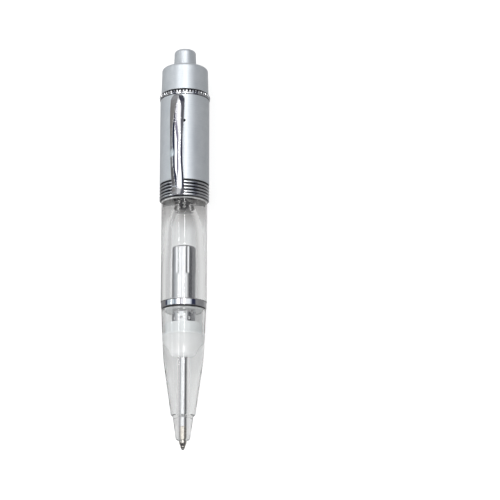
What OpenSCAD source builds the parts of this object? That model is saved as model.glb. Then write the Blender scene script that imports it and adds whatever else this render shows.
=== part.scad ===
// Light-up ballpoint pen: a satin silver tail with a push-button switch and button
// cells, a lamp behind a clear barrel, and a twist mechanism that drives a slim
// metal refill out of a clear nose cone.
//
// Every profile below is drawn as (radius, station), where the station is the
// distance along the pen from the writing tip. The finished pen lies on its
// side: tip towards -Y, push button towards +Y, pocket clip straight up.

/* [Overall] */
// Length from the writing ball to the top of the push button
pen_len = 135.2; // [135:0.1:136]
// Outside diameter of the silver barrel
barrel_d = 16.4; // [16.2:0.1:16.6]
// Outside diameter of the clear barrel
clear_d = 15.05; // [14.95:0.05:15.2]
// Outside diameter of the milled trim ring, the widest round on the pen
milled_d = 16.86; // [16.8:0.02:17.2]
// Number of flutes round the milled trim ring
milled_n = 48; // [36:1:60]
// Number of ribs on the coupling collar
rib_n = 4; // [3:1:5]

/* [Button and switch] */
// Diameter of the push button at its root
button_d = 7.66; // [7.4:0.02:7.7]
// Travel of the push button
button_travel = 1.5; // [0.8:0.1:2]
// Wire diameter of the button's return spring
spring_wire = 0.4; // [0.3:0.05:0.5]
// Working turns of the button's return spring
spring_turns = 4; // [3:1:5]

/* [Lamp and cells] */
// Diameter of the lamp's clear body
lamp_d = 5; // [4.8:0.1:5]
// Diameter of one button cell
cell_d = 11.6; // [11:0.1:11.6]
// Height of one button cell
cell_h = 5.4; // [5:0.1:5.4]
// Number of button cells in the stack
cell_n = 3; // [1:1:3]

/* [Clip] */
// Width of the pocket clip near its top
clip_w = 4.6; // [4:0.1:5]
// Width of the pocket clip at its lower end
clip_w_end = 4.1; // [3.5:0.1:4.4]

/* [Twist mechanism] */
// How far the refill draws back over the whole twist
retract = 4.5; // [3.5:0.1:4.8]
// Angle of the whole twist in degrees
twist_angle = 180; // [150:5:200]
// Outside diameter of the refill tube
refill_d = 2.35; // [2.3:0.01:2.4]
// Diameter of the writing ball
ball_d = 1.0; // [0.7:0.1:1.0]

/* [Hidden] */
$fn = 96;

barrel_r = barrel_d / 2;
clear_r = clear_d / 2;
milled_r = milled_d / 2;
button_r = button_d / 2;
refill_r = refill_d / 2;
ball_r = ball_d / 2;
cell_r = cell_d / 2;
lamp_r = lamp_d / 2;

// Stations of the joints between the outside pieces
nose_s = 2.95;       // open end of the nose
step_s = 10.9;       // nose meets cone
cone_top = 45.5;     // upper end of the cone
ring_lo = 45.95;     // centre ring
ring_hi = 48.0;
clear_lo = 48.05;    // clear barrel
clear_hi = 82.0;
collar_lo = 82.1;    // ribbed collar
collar_hi = 87.42;
barrel_lo = 87.9;    // silver barrel
barrel_hi = 117.25;
milled_lo = 117.3;   // milled ring
milled_hi = 119.2;
cap_lo = 119.25;     // tail cap
cap_hi = 128.55;

// Bores and seats
barrel_bore = 7.4;
collar_bore = 6.95;
clear_bore = 4.6;
cone_bore = 6.32;
refill_clear = 1.3;
lamp_seat = 84.85;   // ledge that the lamp's flange rests on
lamp_end = 79.75;    // lowest point of the lamp's dome
board_lo = 90.2;
board_hi = 91.2;
cells_lo = 92.2;
cells_hi = cells_lo + cell_n * cell_h;
plate_lo = 113.0;
tube_lo = 41.1;      // metal tube of the twist mechanism
tube_step = 57.05;
tube_hi = 66.5;
pin_s = 56;          // drive pin with the refill out
refill_end = 58;

silver = [0.78, 0.80, 0.83];
chrome = [0.86, 0.87, 0.89];
steel = [0.62, 0.63, 0.65];
clear = [0.93, 0.95, 0.96, 0.35];
frost = [0.92, 0.94, 0.95, 0.85];
black = [0.06, 0.06, 0.07];
brass = [0.80, 0.66, 0.36];

// Puts the pen on its side: station 0 at -Y, the clip's side up.
module lay() { translate([0, -pen_len / 2, milled_r]) rotate([-90, 0, 0]) children(); }

// A turned solid from a list of (radius, station) corners.
module turned(pts) { rotate_extrude() polygon(pts); }

// A plain tube between two stations.
module tube(ro, ri, lo, hi) { turned([[ri, lo], [ro, lo], [ro, hi], [ri, hi]]); }

// Corners of a quarter round, from angle a to angle b, centre (r, s).
function arc(r, s, rad, a, b, n = 8) =
    [for (i = [0:n]) let (t = a + (b - a) * i / n) [r + rad * cos(t), s + rad * sin(t)]];

// Outside radius of the cone at a station: two straight tapers with a soft knee.
function cone_low(s) = 4.0 + 0.1447 * (s - 11.68);
function cone_high(s) = 7.27 - 0.042 * (46 - s);
function cone_r(s) = -ln(exp(-7 * cone_low(s)) + exp(-7 * cone_high(s))) / 7;

// Radius of the lamp's bell-shaped cavity at a station
function bell_r(s) = 4.1 - 2.2 * pow(max(s - 70.3, 0) / 10.2, 1.85);

// Radius of the bush's rounded lower end at a station
function bush_r(s) = 2.75 + 3.5 * pow((s - 29.8) / 7.2, 2) - 1.1 * pow(max(0, 1 - (s - 29.8) / 1.4), 2);

// A wire coil as one closed polyhedron. r0 to r1 is the coil's mean radius from
// its lower to its upper end.
module coil(r0, r1, lo, hi, turns, wire, sides = 6, per_turn = 18) {
    n = turns * per_turn;
    w = wire / 2;
    pts = [for (i = [0:n], k = [0:sides - 1])
        let (t = i / n, a = 360 * turns * t, b = 360 * k / sides,
             r = r0 + (r1 - r0) * t + w * cos(b), z = lo + w + (hi - lo - wire) * t + w * sin(b))
        [r * cos(a), r * sin(a), z]];
    walls = [for (i = [0:n - 1], k = [0:sides - 1])
        let (k2 = (k + 1) % sides)
        [i * sides + k, (i + 1) * sides + k, (i + 1) * sides + k2, i * sides + k2]];
    ends = [[for (k = [0:sides - 1]) k], [for (k = [sides - 1:-1:0]) n * sides + k]];
    polyhedron(pts, concat(walls, ends));
}

// ---- tail: cap, button and switch ----

// Domed shell with a neck that screws into the barrel and a hole for the button
module tail_cap() color(silver) lay()
    turned(concat(
        [[6.7, 113.6], [7.3, 113.6], [7.3, cap_lo], [7.9, cap_lo]],
        arc(5.6, cap_hi - 2.1, 2.1, 0, 90),
        [[button_r + 0.1, cap_hi], [button_r + 0.1, 127.6], [6.7, 127.6]]));

// Button with a rounded crown and a retaining flange under the cap
module push_button() color(silver) lay()
    turned(concat(
        [[0, 126.0], [5.0, 126.0], [5.0, 127.5], [button_r, 127.5], [button_r, cap_hi]],
        arc(button_r - 2.51, pen_len - 2.35, 2.3, 0, 90),
        [[0, pen_len]]));

// Moulded switch block inside the cap
module switch_body() color(black) lay()
    difference() {
        turned([[0, 113.5], [6.6, 113.5], [6.6, 119.5], [4.2, 121.0], [0, 121.0]]);
        translate([0, 0, 114.3]) cylinder(r = 1.6, h = 10);
    }

// Stem that the button pushes into the switch block
module switch_plunger() color([0.9, 0.9, 0.88]) lay()
    turned([[0, 117.2], [1.2, 117.2], [1.5, 117.5], [1.5, 125.95], [0, 125.95]]);

// Return spring between the switch block and the button's flange
module switch_spring() color(steel) lay()
    coil(2.6, 2.6, 121.05, 125.95, spring_turns + 0.5, spring_wire);

// Chrome trim ring with a fluted edge
module milled_ring() color(chrome) lay()
    difference() {
        turned([[7.36, milled_lo], [8.27, milled_lo], [8.32, milled_lo + 0.12], [8.32, milled_lo + 0.5],
                [milled_r, milled_lo + 0.75], [milled_r, milled_lo + 1.25], [8.05, milled_hi], [7.36, milled_hi]]);
        for (i = [0:milled_n - 1]) rotate([0, 0, 360 * i / milled_n])
            translate([milled_r + 0.05, 0, milled_lo + 0.55]) cylinder(r = 0.3, h = 3, $fn = 16);
    }

// ---- silver barrel, clip and power ----

// Straight silver tube with a slot for the clip's foot
module upper_barrel() color(silver) lay()
    difference() {
        tube(barrel_r, barrel_bore, barrel_lo, barrel_hi);
        translate([-2.32, -9.5, 107.45]) cube([4.64, 4, 1.1]);
    }

// Side profile of the clip's strip, drawn as (station, radius)
clip_side = [[117.1, 8.95], [110, 9.3], [104, 9.75], [98, 9.95], [92, 9.7], [88, 9.05],
             [86, 8.6], [84.8, 8.45], [83.7, 8.7], [82.4, 9.35], [82.3, 10.0], [83.6, 9.6],
             [84.8, 9.4], [86.5, 9.6], [90, 10.3], [95, 10.85], [100, 11.0], [106, 10.85],
             [112, 10.35], [116.2, 9.9], [117.1, 9.5]];

// Sprung strip with a bent foot that hooks through the barrel's slot
module pocket_clip() color(chrome) lay() {
    intersection() {
        // the bowed strip
        rotate([90, 0, 90]) translate([0, 0, -3]) linear_extrude(6)
            polygon([for (p = clip_side) [-p[1], p[0]]]);
        // its outline from above: round at the top, tapered, soft corners below
        rotate([90, 0, 0]) translate([0, 0, 8]) linear_extrude(4) union() {
            translate([0, 117.1 - clip_w / 2]) circle(clip_w / 2);
            polygon([[-clip_w / 2, 117.1 - clip_w / 2], [-clip_w_end / 2, 83.2],
                     [-clip_w_end / 2 + 0.9, 82.3], [clip_w_end / 2 - 0.9, 82.3],
                     [clip_w_end / 2, 83.2], [clip_w / 2, 117.1 - clip_w / 2]]);
        }
    }
    // foot through the slot, and the leg that holds it behind the wall
    translate([-1.6, -9.9, 107.6]) cube([3.2, 3.1, 0.8]);
    translate([-1.6, -7.2, 107.6]) cube([3.2, 0.45, 4.6]);
}

// Spring plate under the switch block
module contact_plate() color(brass) lay() tube(5.2, 0.6, plate_lo, plate_lo + 0.4);

// Tapered spring that presses on the top cell
module battery_spring() color(steel) lay()
    coil(4.2, 2.2, cells_hi + 0.05, plate_lo - 0.05, 3.5, 0.5);

// Stack of button cells, each a stepped can
module button_cells() color([0.82, 0.83, 0.84]) lay()
    for (i = [0:cell_n - 1]) translate([0, 0, cells_lo + i * cell_h])
        turned([[0, 0.05], [4.7, 0.05], [4.9, 0.6], [cell_r - 0.3, 0.75], [cell_r, 1.05],
                [cell_r, cell_h - 0.3], [cell_r - 0.25, cell_h - 0.02], [0, cell_h - 0.02]]);

// Insulating sleeve round the cells
module battery_sleeve() color(black) lay() tube(6.35, 5.9, 91.3, 111);

// Round board that carries the lamp
module lamp_board() color([0.12, 0.36, 0.20]) lay()
    difference() {
        turned([[0, board_lo], [7.2, board_lo], [7.2, board_hi], [0, board_hi]]);
        for (x = [-1.27, 1.27]) translate([x, 0, 85]) cylinder(r = 0.4, h = 10, $fn = 32);
    }

// Current-limiting resistor on the board
module board_resistor() color(black) lay()
    translate([2.6, -0.8, board_hi + 0.02]) cube([3.2, 1.6, 0.55]);

// Contact button between the board and the lowest cell
module board_contact() color(brass) lay()
    translate([0, 3.2, 0]) turned([[0, board_hi + 0.02], [1.1, board_hi + 0.02], [1.1, 91.8], [0.7, 92.2], [0, 92.2]]);

// ---- lamp and clear barrel ----

// White holder that keeps the lamp in its seat
module lamp_holder() color(black) lay()
    difference() {
        turned([[0, 86.0], [2.9, 86.0], [2.9, 87.0], [5.9, 87.0], [5.9, 90.1], [0, 90.1]]);
        for (x = [-1.27, 1.27]) translate([x, 0, 85]) cylinder(r = 0.4, h = 10, $fn = 32);
    }

// Two wire legs from the lamp to the board
module lamp_leads() color(steel) lay()
    for (x = [-1.27, 1.27]) translate([x, 0, 85.95]) cylinder(r = 0.25, h = 5.8, $fn = 24);

// Clear lamp body with a flange, its dome towards the tip
module lamp() color(clear) lay()
    turned(concat(
        [[0, 85.92], [2.9, 85.92], [2.9, 84.9], [lamp_r, 84.9]],
        arc(0, lamp_end + lamp_r, lamp_r, 0, -90, 10)));

// Thin black seal between the collar and the silver barrel
module barrel_gasket() color(black) lay() tube(8.08, 7.38, collar_hi + 0.03, barrel_lo - 0.03);

// Ribbed coupling between the silver and the clear barrel
module coupling_collar() color(steel) lay() {
    pitch = (collar_hi - 83.0) / rib_n;
    turned(concat(
        [[6.0, 90.15], [6.0, 87.0], [collar_bore, 86.97], [collar_bore, collar_lo], [7.7, collar_lo], [8.2, 82.55], [8.2, 83.0]],
        [for (i = [0:rib_n - 1], p = [[7.82, 0.02], [7.82, 0.18], [8.08, 0.28], [8.22, 0.46], [8.22, 0.72], [8.08, 0.9], [7.82, 0.99]])
            [p[0], 83.0 + (i + p[1]) * pitch]],
        [[7.35, collar_hi], [7.35, 90.15]]));
}

// Clear tube: a wide bore for the twist mechanism, a funnel up to the lamp, and
// a spigot that fits the collar
module clear_barrel() color(clear) lay()
    turned(concat([[clear_bore, clear_lo], [clear_r, clear_lo], [clear_r, clear_hi], [6.9, clear_hi],
            [6.9, 86.9], [3.1, 86.9], [3.1, lamp_seat], [2.62, lamp_seat]],
            arc(0, lamp_end + lamp_r, lamp_r + 0.12, 0, -42, 5),
            [for (s = [80.4:-1.01:70.2]) [bell_r(s), s]],
            [[clear_bore, 62]]));

// ---- twist mechanism ----

// Chrome ring pressed on the mechanism's tube, with a spigot into the clear barrel
module centre_ring() color(chrome) lay()
    turned([[3.9, cone_top + 0.05], [6.82, cone_top + 0.05], [6.82, ring_lo], [7.22, ring_lo], [7.42, ring_lo + 0.2], [7.42, ring_hi - 0.12], [7.3, ring_hi],
            [clear_bore - 0.06, ring_hi], [clear_bore - 0.06, ring_hi + 0.9], [3.9, ring_hi + 0.9]]);

// Slim black ring that the cone turns against
module twist_washer() color(black) lay() tube(7.1, 6.87, cone_top + 0.03, ring_lo - 0.03);

// Plated outer tube, closed and rounded at its upper end, fluted along its upper
// part and crimped near its mouth
module mechanism_tube() color(chrome) lay()
    difference() {
        turned(concat(
            [[3.4, tube_lo], [3.85, tube_lo]],
            arc(2.95, tube_hi - 0.9, 0.9, 0, 90),
            [[0, tube_hi], [0, tube_hi - 0.7], [3.4, tube_hi - 0.7]]));
        // shallow flutes
        for (a = [30:45:345]) rotate([0, 0, a]) translate([4.35, 0, tube_step]) cylinder(r = 0.7, h = 12, $fn = 32);
        // two staggered rows of crimp dimples
        for (a = [22:36:346]) rotate([0, 0, a]) {
            translate([4.2, 0, 42.4]) sphere(r = 0.6, $fn = 24);
            rotate([0, 0, 18]) translate([4.2, 0, 44.5]) sphere(r = 0.6, $fn = 24);
        }
    }

// Fixed sleeve with the spiral groove that drives the pin
module helix_cam() color([0.88, 0.88, 0.85]) lay()
    difference() {
        tube(3.36, 2.76, 44.2, 63);
        for (i = [-1:31]) let (a = twist_angle * i / 30)
            rotate([0, 0, a]) translate([0, 0, pin_s + retract * i / 30]) rotate([0, 90, 0])
                cylinder(r = 0.66, h = 5, $fn = 24);
    }

// Turning sleeve with a straight slot for the pin
module slotted_rotor() color(brass) lay()
    difference() {
        turned([[2.12, 32.4], [2.64, 32.4], [2.64, 63.2], [2.4, 63.2], [2.4, 63.75], [2.64, 63.75],
                [2.64, 64.3], [2.12, 64.3]]);
        translate([0, -0.6, pin_s - 0.9]) cube([5, 1.2, retract + 1.8]);
    }

// Split ring that keeps the rotor in the cam
module rotor_snap_ring() color(steel) lay()
    difference() {
        tube(3.2, 2.44, 63.25, 63.7);
        translate([-4, -0.5, 63]) cube([4, 1, 1]);
    }

// Frosted bush that joins the rotor to the cone
module front_bush() color(frost) lay()
    turned(concat(
        [[2.7, 40.85], [6.05, 40.85], [6.25, 40.65]],
        [for (i = [0:8]) let (s = 37 - 0.9 * i) [bush_r(s), s]],
        [[1.35, 29.8], [1.35, 32.3], [2.7, 32.3]]));

// Clear tapered grip with a stepped bore
module front_cone() color(clear) lay()
    turned(concat(
        [[cone_bore, cone_top], [7.12, cone_top]],
        [for (s = [45.3:-1.5:11.8]) [cone_r(s), s]],
        [[3.98, 11.5], [3.9, 11.2], [3.62, step_s], [2.66, step_s], [2.66, 16.2], [refill_clear, 16.6],
         [refill_clear, 29.74], [1.72, 29.74]],
        [for (i = [1:8]) let (s = 29.8 + 0.9 * i) [bush_r(s) + 0.07, s]]));

// Clear nose with a spigot up into the cone
module nose_tip() color(clear) lay()
    turned(concat(
        [[refill_clear, nose_s]],
        arc(1.4, nose_s + 0.9, 0.9, -90, -8, 6),
        [[3.34, step_s - 0.05], [2.62, step_s - 0.05], [2.62, 15.9], [refill_clear, 15.9]]));

// ---- refill ----

// Sliding socket for the refill's end
module refill_carriage() color([0.88, 0.88, 0.85]) lay()
    difference() {
        turned([[0, 51], [2.02, 51], [2.02, 60.5], [0, 60.5]]);
        translate([0, 0, 50]) cylinder(r = refill_r + 0.03, h = refill_end - 49.95);
        translate([0, 0, pin_s]) rotate([0, 90, 0]) cylinder(r = 0.47, h = 5, $fn = 32);
    }

// Cross pin that runs in the slot and in the spiral groove
module carriage_pin() color(steel) lay()
    translate([1.3, 0, pin_s]) rotate([0, 90, 0]) cylinder(r = 0.45, h = 1.95, $fn = 32);

// Plated ink tube
module refill_tube() color(chrome) lay()
    turned([[0.97, 7.5], [refill_r, 7.5], [refill_r, refill_end], [0.97, refill_end]]);

// Turned point that holds the ball
module refill_tip() color([0.86, 0.84, 0.80]) lay()
    difference() {
        turned([[0, 0.33], [0.4, 0.33], [0.62, 0.6], [0.72, 0.85], [0.77, 1.2], [1.08, 1.95], [refill_r, 2.25], [refill_r, 7.45],
                [0.94, 7.45], [0.94, 9.6], [0, 9.6]]);
        translate([0, 0, ball_r]) sphere(r = ball_r + 0.02, $fn = 48);
        translate([0, 0, 0.6]) cylinder(r = 0.16, h = 10, $fn = 24);
    }

// Ball that rolls the ink out
module writing_ball() color([0.30, 0.30, 0.32]) lay()
    translate([0, 0, ball_r]) sphere(r = ball_r, $fn = 48);

tail_cap();
push_button();
switch_body();
switch_plunger();
switch_spring();
milled_ring();
upper_barrel();
pocket_clip();
contact_plate();
battery_spring();
button_cells();
battery_sleeve();
lamp_board();
board_resistor();
board_contact();
lamp_holder();
lamp_leads();
lamp();
barrel_gasket();
coupling_collar();
clear_barrel();
centre_ring();
twist_washer();
mechanism_tube();
helix_cam();
slotted_rotor();
rotor_snap_ring();
front_bush();
front_cone();
nose_tip();
refill_carriage();
carriage_pin();
refill_tube();
refill_tip();
writing_ball();
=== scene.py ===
import math

import bmesh
import bpy
from mathutils import Matrix, Vector


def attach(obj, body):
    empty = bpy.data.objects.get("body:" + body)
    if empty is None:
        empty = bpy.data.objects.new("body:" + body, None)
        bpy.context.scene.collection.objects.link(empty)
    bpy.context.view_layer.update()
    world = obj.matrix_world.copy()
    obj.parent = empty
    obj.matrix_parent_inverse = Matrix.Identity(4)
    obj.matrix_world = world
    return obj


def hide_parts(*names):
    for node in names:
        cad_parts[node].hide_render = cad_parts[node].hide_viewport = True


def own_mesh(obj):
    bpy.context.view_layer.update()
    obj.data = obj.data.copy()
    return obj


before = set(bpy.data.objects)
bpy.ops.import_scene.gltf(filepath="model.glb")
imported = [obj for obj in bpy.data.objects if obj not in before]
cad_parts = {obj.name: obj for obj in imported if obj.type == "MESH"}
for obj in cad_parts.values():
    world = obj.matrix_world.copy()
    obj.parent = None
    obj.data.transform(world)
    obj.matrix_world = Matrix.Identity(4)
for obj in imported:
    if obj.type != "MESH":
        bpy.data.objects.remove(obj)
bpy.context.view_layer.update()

scene = bpy.context.scene

# The pen lies along Y with its tip towards -Y. Shapes are drawn in millimetres as
# (radius, station): the station is the distance from the writing tip.
LEN = 135.2
AXIS = 8.43
MM = 0.001


def place(r, s, a=0.0):
    """Radius, station and angle (from the clip's side towards +X) to a point in the frame."""
    return Vector((r * math.sin(a) * MM, (s - LEN / 2) * MM, (AXIS + r * math.cos(a)) * MM))


# ---------------------------------------------------------------- mesh helpers


def soften(pts, closed=True, steps=5):
    """Rounds the corners of a profile. A corner is (r, s) or (r, s, fillet radius)."""
    out, n = [], len(pts)
    for i, p in enumerate(pts):
        f = p[2] if len(p) > 2 else 0.0
        end = not closed and i in (0, n - 1)
        if f <= 0 or end:
            out.append((p[0], p[1]))
            continue
        b = Vector(p[:2])
        u = Vector(pts[i - 1][:2]) - b
        v = Vector(pts[(i + 1) % n][:2]) - b
        lu, lv = u.length, v.length
        u.normalize()
        v.normalize()
        half = u.angle(v) / 2
        if half > math.pi / 2 - 0.02:
            out.append((p[0], p[1]))
            continue
        cut = min(f / math.tan(half), 0.48 * lu, 0.48 * lv)
        f = cut * math.tan(half)
        mid = (u + v).normalized()
        c = b + mid * (f / math.sin(half))
        a, e = b + u * cut - c, b + v * cut - c
        turn = a.angle_signed(e)
        for k in range(steps + 1):
            w = a.copy()
            w.rotate(Matrix.Rotation(-turn * k / steps, 2))
            q = c + w
            out.append((max(q.x, 0.0), q.y))
    return out


def hold(pts, closed=True, gap=0.035):
    """Adds points close to both ends of each long straight run, which keeps its shading flat."""
    out, n = [], len(pts)
    for i, p in enumerate(pts):
        out.append(p)
        if not closed and i == n - 1:
            break
        q = pts[(i + 1) % n]
        d = math.hypot(q[0] - p[0], q[1] - p[1])
        if d > 5 * gap:
            t = gap / d
            out.append((p[0] + (q[0] - p[0]) * t, p[1] + (q[1] - p[1]) * t))
            out.append((q[0] + (p[0] - q[0]) * t, q[1] + (p[1] - q[1]) * t))
    return out


def finish_mesh(name, verts, faces, mat, body, nodes=(), slot=None, sharp=38):
    me = bpy.data.meshes.new(name)
    me.from_pydata([tuple(v) for v in verts], [], faces)
    bm = bmesh.new()
    bm.from_mesh(me)
    bmesh.ops.remove_doubles(bm, verts=bm.verts, dist=1e-8)
    bmesh.ops.recalc_face_normals(bm, faces=bm.faces)
    bm.to_mesh(me)
    bm.free()
    me.polygons.foreach_set("use_smooth", [True] * len(me.polygons))
    me.set_sharp_from_angle(angle=math.radians(sharp))
    ob = bpy.data.objects.new(name, me)
    scene.collection.objects.link(ob)
    me.materials.append(mat)
    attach(ob, body)
    if nodes:
        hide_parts(*nodes)
    return ob


def lathe_mesh(pts, closed=True, seg=160, shape=None):
    """Vertices and faces of a turned shape. shape(r, s, a) may change a point's radius."""
    verts, rings = [], []
    for r, s in pts:
        if r < 1e-5:
            verts.append(place(0, s))
            rings.append([len(verts) - 1])
            continue
        ring = []
        for k in range(seg):
            a = 2 * math.pi * k / seg
            verts.append(place(shape(r, s, a) if shape else r, s, a))
            ring.append(len(verts) - 1)
        rings.append(ring)
    faces, n = [], len(rings)
    for i in range(n if closed else n - 1):
        p, q = rings[i], rings[(i + 1) % n]
        if len(p) == 1 and len(q) == 1:
            continue
        for k in range(seg):
            k2 = (k + 1) % seg
            if len(p) == 1:
                faces.append((p[0], q[k], q[k2]))
            elif len(q) == 1:
                faces.append((p[k], p[k2], q[0]))
            else:
                faces.append((p[k], p[k2], q[k2], q[k]))
    return verts, faces


def turned(name, pts, mat, body, nodes=(), slot=None, seg=160, shape=None, sharp=38, steps=5):
    closed = not (pts[0][0] < 1e-5 and pts[-1][0] < 1e-5)
    prof = hold(soften(pts, closed, steps), closed)
    verts, faces = lathe_mesh(prof, closed, seg, shape)
    return finish_mesh(name, verts, faces, mat, body, nodes, slot, sharp)


def joined(*parts):
    """Several (verts, faces) lists as one."""
    verts, faces = [], []
    for v, f in parts:
        o = len(verts)
        verts += list(v)
        faces += [tuple(i + o for i in q) for q in f]
    return verts, faces


def sweep(path, radius, sides=10):
    """A round wire along points given in the frame, with flat ends."""
    verts, faces = [], []
    n = len(path)
    for i, p in enumerate(path):
        t = (path[min(i + 1, n - 1)] - path[max(i - 1, 0)]).normalized()
        x = t.orthogonal().normalized() if i == 0 else (x - t * x.dot(t)).normalized()
        y = t.cross(x)
        r = radius[i] if isinstance(radius, (list, tuple)) else radius
        for k in range(sides):
            a = 2 * math.pi * k / sides
            verts.append(p + (x * math.cos(a) + y * math.sin(a)) * r)
    for i in range(n - 1):
        for k in range(sides):
            k2 = (k + 1) % sides
            faces.append((i * sides + k, i * sides + k2, (i + 1) * sides + k2, (i + 1) * sides + k))
    faces.append(tuple(range(sides))[::-1])
    faces.append(tuple((n - 1) * sides + k for k in range(sides)))
    return verts, faces


def curve_through(keys, t):
    """Smooth interpolation through (t, value) keys, sorted by t."""
    if t <= keys[0][0]:
        return keys[0][1]
    if t >= keys[-1][0]:
        return keys[-1][1]
    i = next(k for k in range(len(keys) - 1) if keys[k + 1][0] >= t)

    def slope(k):
        if k == 0 or k == len(keys) - 1:
            a, b = (0, 1) if k == 0 else (-2, -1)
            return (keys[b][1] - keys[a][1]) / (keys[b][0] - keys[a][0])
        return (keys[k + 1][1] - keys[k - 1][1]) / (keys[k + 1][0] - keys[k - 1][0])

    (t0, v0), (t1, v1) = keys[i], keys[i + 1]
    h = t1 - t0
    u = (t - t0) / h
    return (
        v0 * (2 * u**3 - 3 * u**2 + 1)
        + v1 * (-2 * u**3 + 3 * u**2)
        + h * slope(i) * (u**3 - 2 * u**2 + u)
        + h * slope(i + 1) * (u**3 - u**2)
    )


# ---------------------------------------------------------------- materials


class Mat:
    """A node material that is drawn in millimetres."""

    def __init__(self, name):
        self.mat = bpy.data.materials.new(name)
        self.mat.use_nodes = True
        self.t = self.mat.node_tree
        self.t.nodes.clear()
        self.out = self.t.nodes.new("ShaderNodeOutputMaterial")
        self.bsdf = self.t.nodes.new("ShaderNodeBsdfPrincipled")
        self.t.links.new(self.bsdf.outputs[0], self.out.inputs["Surface"])
        co = self.t.nodes.new("ShaderNodeTexCoord")
        mp = self.t.nodes.new("ShaderNodeMapping")
        mp.inputs["Scale"].default_value = (1000, 1000, 1000)
        self.t.links.new(co.outputs["Object"], mp.inputs["Vector"])
        self.mm = mp.outputs["Vector"]
        sp = self.t.nodes.new("ShaderNodeSeparateXYZ")
        self.t.links.new(self.mm, sp.inputs[0])
        self.along = sp.outputs["Y"]
        off = self.math("SUBTRACT", sp.outputs["Z"], AXIS)
        self.radius = self.math("SQRT", self.math("ADD", self.math("MULTIPLY", sp.outputs["X"], sp.outputs["X"]), self.math("MULTIPLY", off, off)), 0.0)

    def set(self, **values):
        for k, v in values.items():
            self.bsdf.inputs[k.replace("_", " ")].default_value = v
        return self

    def noise(self, scale, detail=3.0, rough=0.55, stretch=None):
        n = self.t.nodes.new("ShaderNodeTexNoise")
        n.inputs["Scale"].default_value = scale
        n.inputs["Detail"].default_value = detail
        n.inputs["Roughness"].default_value = rough
        if stretch:
            m = self.t.nodes.new("ShaderNodeMapping")
            m.inputs["Scale"].default_value = stretch
            self.t.links.new(self.mm, m.inputs["Vector"])
            self.t.links.new(m.outputs["Vector"], n.inputs["Vector"])
        else:
            self.t.links.new(self.mm, n.inputs["Vector"])
        return n.outputs["Fac"]

    def lines(self, scale, detail=4.0):
        """Fine rings round the pen: noise that changes only along it."""
        n = self.t.nodes.new("ShaderNodeTexNoise")
        n.noise_dimensions = "1D"
        n.inputs["Scale"].default_value = scale
        n.inputs["Detail"].default_value = detail
        self.t.links.new(self.along, n.inputs["W"])
        return n.outputs["Fac"]

    def ramp(self, fac, stops):
        n = self.t.nodes.new("ShaderNodeValToRGB")
        e = n.color_ramp.elements
        while len(e) < len(stops):
            e.new(0.5)
        for el, (p, c) in zip(e, stops):
            el.position = p
            el.color = (*c, 1) if len(c) == 3 else c
        self.t.links.new(fac, n.inputs["Fac"])
        return n.outputs["Color"]

    def span(self, fac, lo, hi, a=0.3, b=0.7):
        n = self.t.nodes.new("ShaderNodeMapRange")
        n.inputs["From Min"].default_value = a
        n.inputs["From Max"].default_value = b
        n.inputs["To Min"].default_value = lo
        n.inputs["To Max"].default_value = hi
        self.t.links.new(fac, n.inputs["Value"])
        return n.outputs["Result"]

    def math(self, op, a, b):
        n = self.t.nodes.new("ShaderNodeMath")
        n.operation = op
        for i, v in enumerate((a, b)):
            if isinstance(v, (int, float)):
                n.inputs[i].default_value = v
            else:
                self.t.links.new(v, n.inputs[i])
        return n.outputs[0]

    def link(self, socket, name):
        self.t.links.new(socket, self.bsdf.inputs[name])
        return self

    def bump(self, height, strength, distance=0.00002):
        n = self.t.nodes.new("ShaderNodeBump")
        n.inputs["Strength"].default_value = strength
        n.inputs["Distance"].default_value = distance
        self.t.links.new(height, n.inputs["Height"])
        prior = self.bsdf.inputs["Normal"]
        if prior.is_linked:
            self.t.links.new(prior.links[0].from_socket, n.inputs["Normal"])
        self.t.links.new(n.outputs["Normal"], prior)
        return self

    def lets_lamps_through(self, tint):
        """Shadow rays pass, so that what is inside clear plastic is lit."""
        lp = self.t.nodes.new("ShaderNodeLightPath")
        tr = self.t.nodes.new("ShaderNodeBsdfTransparent")
        tr.inputs["Color"].default_value = (*tint, 1)
        mx = self.t.nodes.new("ShaderNodeMixShader")
        self.t.links.new(lp.outputs["Is Shadow Ray"], mx.inputs["Fac"])
        self.t.links.new(self.bsdf.outputs[0], mx.inputs[1])
        self.t.links.new(tr.outputs[0], mx.inputs[2])
        self.t.links.new(mx.outputs[0], self.out.inputs["Surface"])
        return self


def satin_silver():
    m = Mat("satin_silver").set(Metallic=0.62)
    grain = m.noise(11.0, 4, 0.65)
    cloud = m.noise(0.30, 4, 0.6)
    ring = m.lines(5.0)
    tone = m.math("ADD", m.math("MULTIPLY", cloud, 0.6), m.math("MULTIPLY", ring, 0.4))
    m.link(m.ramp(tone, [(0.36, (0.66, 0.70, 0.735)), (0.64, (0.75, 0.785, 0.815))]), "Base Color")
    m.link(m.math("ADD", m.span(cloud, 0.38, 0.44), m.span(grain, -0.03, 0.03)), "Roughness")
    m.bump(grain, 0.10, 0.000012)
    m.bump(ring, 0.10, 0.00001)
    return m.mat


def chrome():
    m = Mat("chrome").set(Metallic=1.0)
    cloud = m.noise(0.5, 4, 0.6)
    fine = m.noise(6.0, 5, 0.7)
    m.link(m.ramp(cloud, [(0.3, (0.84, 0.845, 0.86)), (0.7, (0.90, 0.90, 0.91))]), "Base Color")
    m.link(m.span(fine, 0.03, 0.10), "Roughness")
    m.bump(cloud, 0.08, 0.00005)
    m.bump(fine, 0.04, 0.00001)
    return m.mat


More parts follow.
